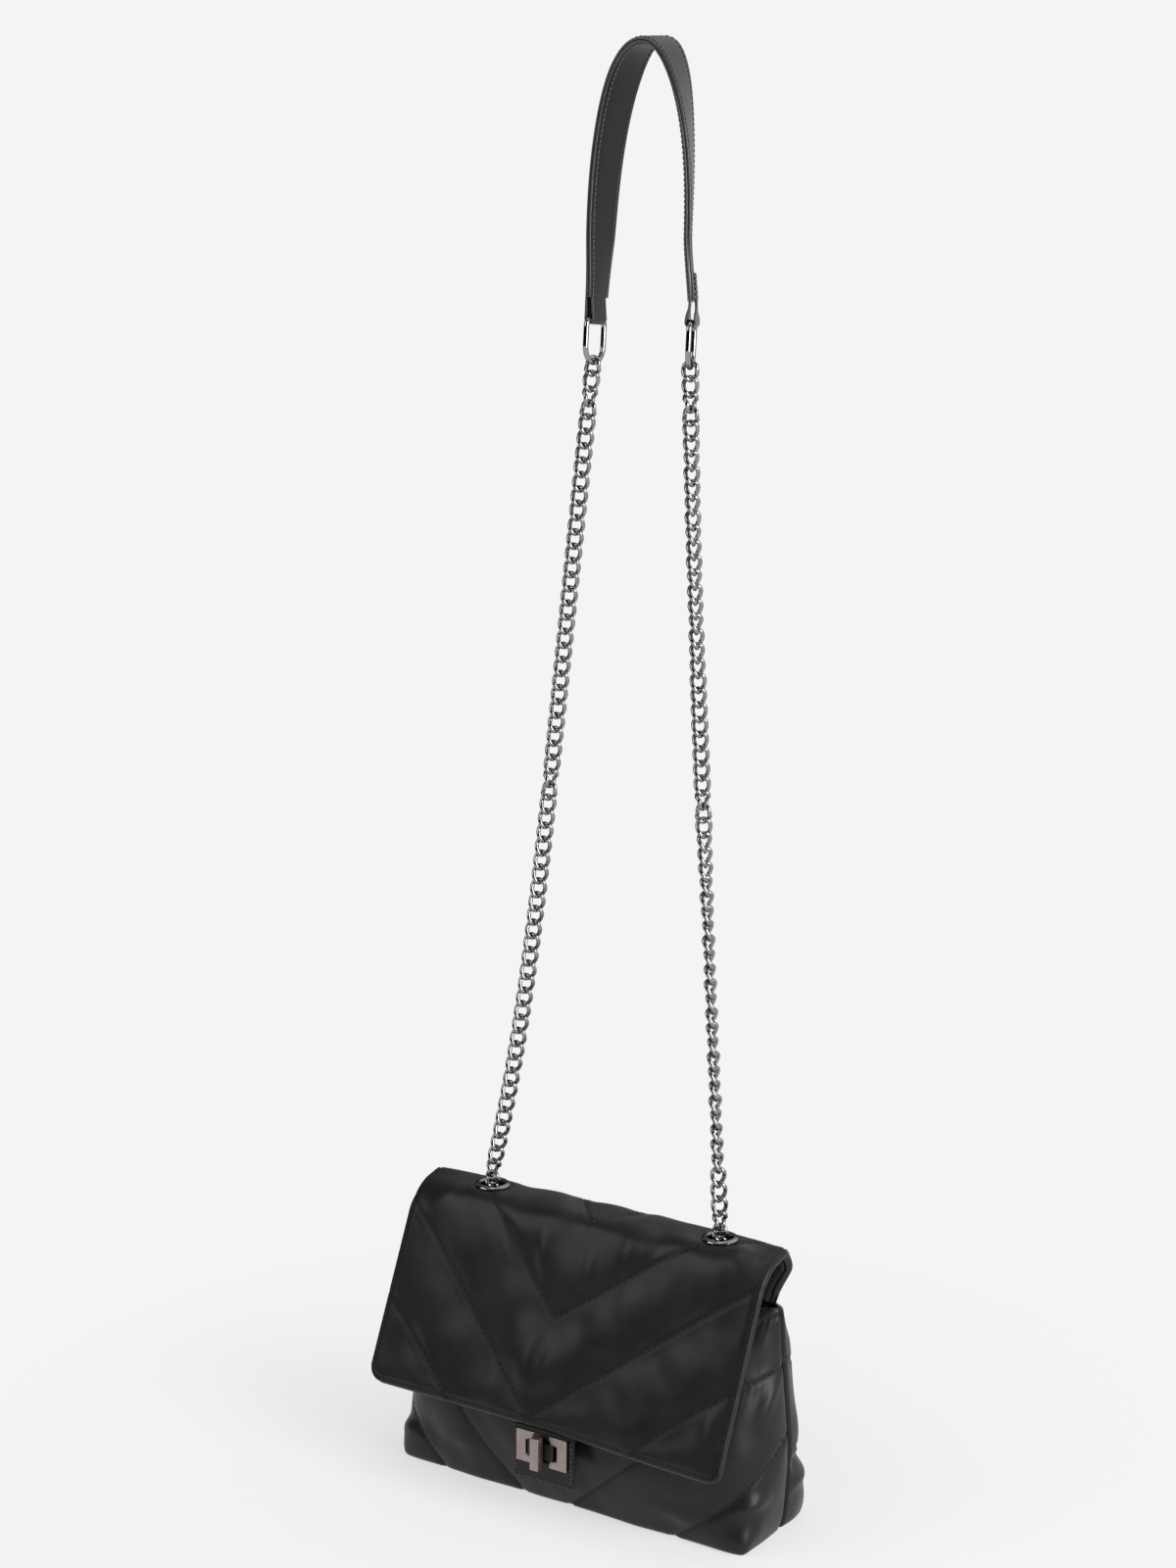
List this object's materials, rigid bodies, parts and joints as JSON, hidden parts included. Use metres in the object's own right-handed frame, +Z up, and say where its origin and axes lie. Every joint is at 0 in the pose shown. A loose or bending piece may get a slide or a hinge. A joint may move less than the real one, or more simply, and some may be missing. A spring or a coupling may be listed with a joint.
{
  "type": "quilted crossbody bag",
  "caption": "Soft quilted pouch with a boxed base, closed by a long front flap with a turn lock, on a chain strap that runs through eyelets to a leather shoulder pad.",
  "frame": {"origin": "middle of the footprint, on the floor, in the plane of the side seams", "axes": "+Z up, -Y out of the flap's front, +X to the right of someone who faces the front"},
  "size_m": [0.242, 0.1262, 0.8045],
  "materials": {
    "quilted_leather": "soft semi-gloss, quilted and lightly creased",
    "strap_leather": "smooth semi-gloss with a stitched edge",
    "lining_cloth": "matt twill",
    "grey_board": "matt",
    "gunmetal": "bright dark plating",
    "satin_gunmetal": "satin warm grey plating"
  },
  "bodies": {
    "bag": {"front_panel": "quilted_leather", "back_panel": "quilted_leather", "bottom_panel": "quilted_leather", "base_board": "grey_board", "lining": "lining_cloth", "flap_top": "quilted_leather", "flap_lining_top": "lining_cloth", "eyelet_left": "gunmetal", "eyelet_right": "gunmetal", "eyelet_washer_left": "gunmetal", "eyelet_washer_right": "gunmetal", "side_tab_left": "strap_leather", "side_tab_right": "strap_leather", "side_ring_left": "gunmetal", "side_ring_right": "gunmetal", "chain_tail_left": "gunmetal", "chain_tail_right": "gunmetal", "lock_base": "satin_gunmetal", "lock_back_plate": "gunmetal"},
    "flap": {"flap_front": "quilted_leather", "flap_lining_front": "lining_cloth", "flap_binding": "quilted_leather", "lock_tab": "quilted_leather", "lock_plate": "satin_gunmetal", "lock_plate_back": "satin_gunmetal"},
    "lock_bar": {"lock_toggle": "satin_gunmetal", "lock_post": "satin_gunmetal"},
    "strap_lower": {"chain_lower_left": "gunmetal", "chain_lower_right": "gunmetal"},
    "strap_upper": {"chain_upper_left": "gunmetal", "chain_upper_right": "gunmetal"},
    "pad": {"chain_end_left": "gunmetal", "chain_end_right": "gunmetal", "strap_ring_left": "gunmetal", "strap_ring_right": "gunmetal", "strap_end_left": "strap_leather", "strap_end_right": "strap_leather", "strap_outer": "strap_leather", "strap_lining": "strap_leather"}
  },
  "joints": [
    {"name": "flap_hinge", "type": "hinge", "parent": "bag", "child": "flap", "pos_m": [0, -0.0173, 0.1633], "axis": [-1, 0, 0], "range_deg": [0, 150]},
    {"name": "lock_turn", "type": "hinge", "parent": "bag", "child": "lock_bar", "pos_m": [0, -0.067, 0.042], "axis": [0, 1, 0], "range_deg": [0, 90]},
    {"name": "strap_swing", "type": "hinge", "parent": "bag", "child": "strap_lower", "pos_m": [0, -0.005, 0.171], "axis": [-1, 0, 0], "range_deg": [-100, 100]},
    {"name": "strap_fold", "type": "hinge", "parent": "strap_lower", "child": "strap_upper", "pos_m": [0, 0.01105, 0.4], "axis": [-1, 0, 0], "range_deg": [-90, 90]},
    {"name": "pad_fold", "type": "hinge", "parent": "strap_upper", "child": "pad", "pos_m": [0, 0.02584, 0.611], "axis": [-1, 0, 0], "range_deg": [-90, 90]}
  ]
}
